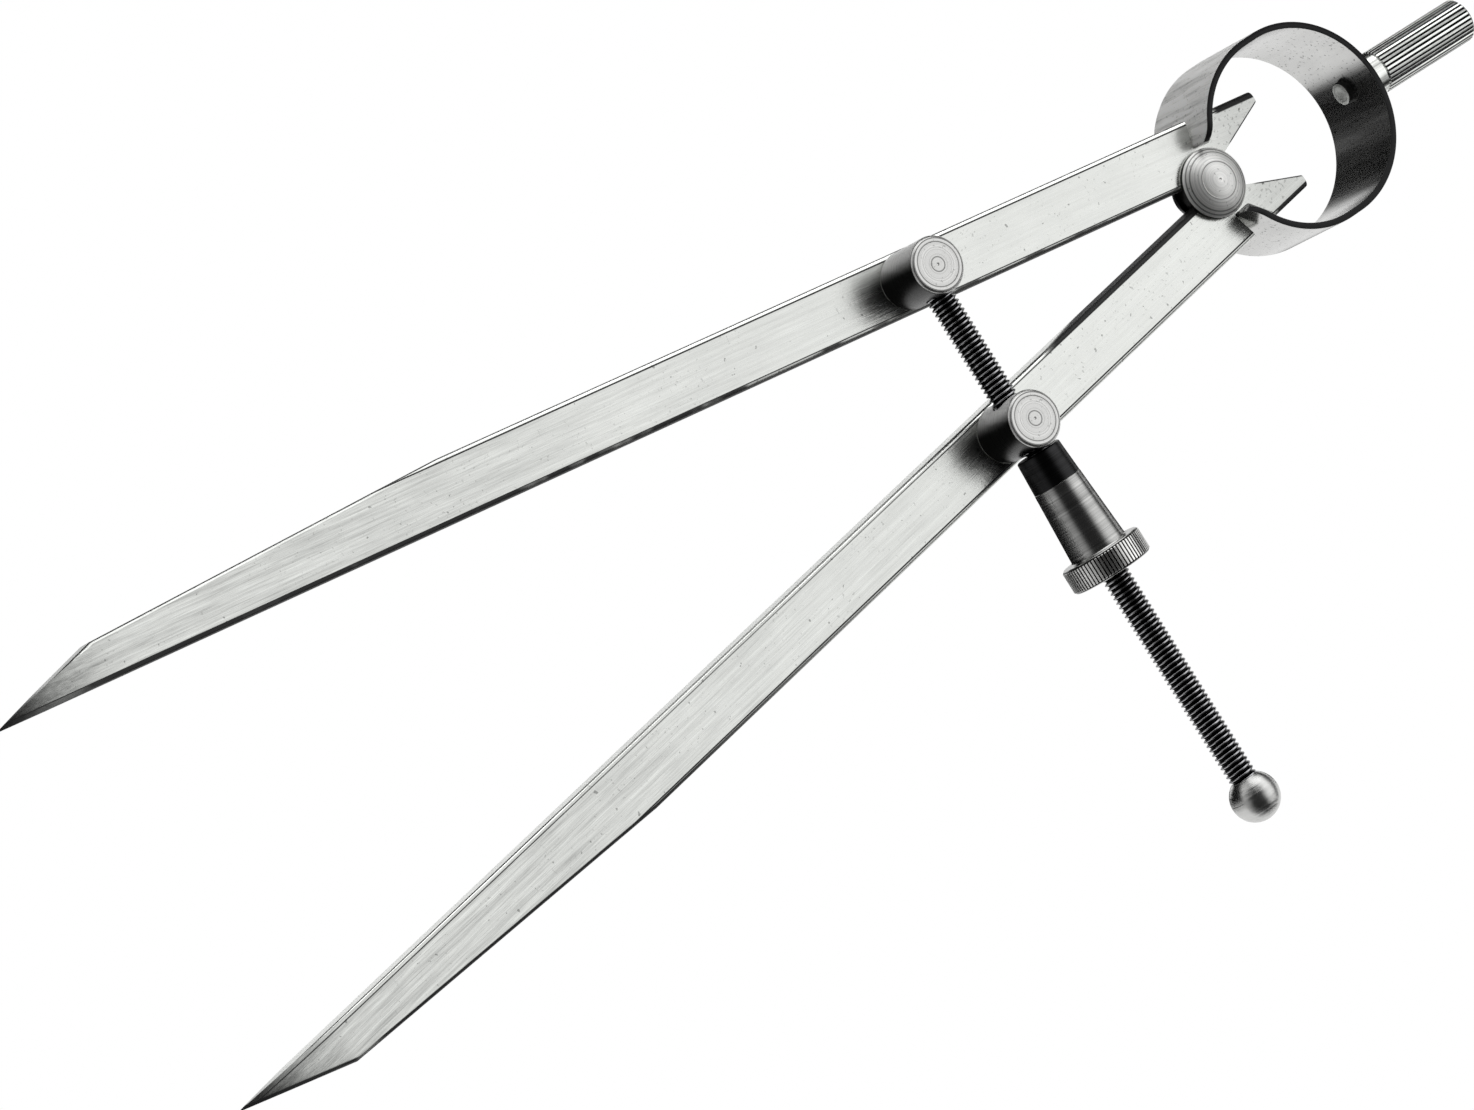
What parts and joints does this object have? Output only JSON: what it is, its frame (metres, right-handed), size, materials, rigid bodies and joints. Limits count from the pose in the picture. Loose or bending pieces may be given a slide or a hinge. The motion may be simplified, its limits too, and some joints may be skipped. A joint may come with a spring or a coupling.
{
  "type": "bow-spring dividers",
  "caption": "Spring dividers: two pointed flat legs, a C-shaped bow spring with a fluted handle, a domed fulcrum stud, and a screw with a long knurled nut.",
  "frame": {"origin": "on the fulcrum's axis, at the flat back face of the fulcrum", "axes": "+Z along the fulcrum's axis to the front of the tool, +Y along the middle line from the points to the handle, +X along the adjusting screw to its ball end"},
  "size_m": [0.0804, 0.1882, 0.0162],
  "materials": {
    "leg_steel": "satin, brushed lengthwise, bright ground edges",
    "spring_steel": "spring strip, streaked satin faces and dark cut edges",
    "handle_steel": "bright, straight fluted",
    "turned_steel": "turned satin",
    "blued_steel": "black oxide, oiled"
  },
  "bodies": {
    "head": {"bow_spring": "spring_steel", "handle_stem": "handle_steel", "fulcrum_stud": "turned_steel", "fulcrum_washer": "blued_steel"},
    "left_leg": {"leg_left": "leg_steel"},
    "right_leg": {"leg_right": "leg_steel"},
    "left_post": {"post_left": "turned_steel", "post_left_washer": "blued_steel", "adjusting_screw": "blued_steel", "screw_ball": "turned_steel"},
    "right_post": {"post_right": "turned_steel", "post_right_washer": "blued_steel"},
    "nut": {"nut_sleeve": "turned_steel", "nut_bush": "blued_steel"}
  },
  "joints": [
    {"name": "leg_left_open", "type": "hinge", "parent": "head", "child": "left_leg", "pos_m": [0, 0, 0.00215], "axis": [0, 0, -1], "range_deg": [-8.1, 19.5], "deforming": ["bow_spring"]},
    {"name": "leg_right_open", "type": "hinge", "parent": "head", "child": "right_leg", "pos_m": [0, 0, 0.00215], "axis": [0, 0, 1], "range_deg": [-8.1, 19.5], "deforming": ["bow_spring"]},
    {"name": "post_left_swivel", "type": "hinge", "parent": "left_leg", "child": "left_post", "pos_m": [-0.0092, -0.03759, 0.00215], "axis": [0, 0, 1], "range_deg": [-8.1, 19.5]},
    {"name": "post_right_swivel", "type": "hinge", "parent": "right_leg", "child": "right_post", "pos_m": [0.0092, -0.03759, 0.00215], "axis": [0, 0, -1], "range_deg": [-8.1, 19.5]},
    {"name": "nut_spin", "type": "hinge", "parent": "right_post", "child": "nut", "pos_m": [0.0152, -0.03759, 0.00745], "axis": [1, 0, 0], "continuous": true}
  ],
  "couplings": [
    {"joint": "leg_right_open", "follows": "leg_left_open", "ratio": 1},
    {"joint": "post_left_swivel", "follows": "leg_left_open", "ratio": 1},
    {"joint": "post_right_swivel", "follows": "leg_left_open", "ratio": 1}
  ]
}
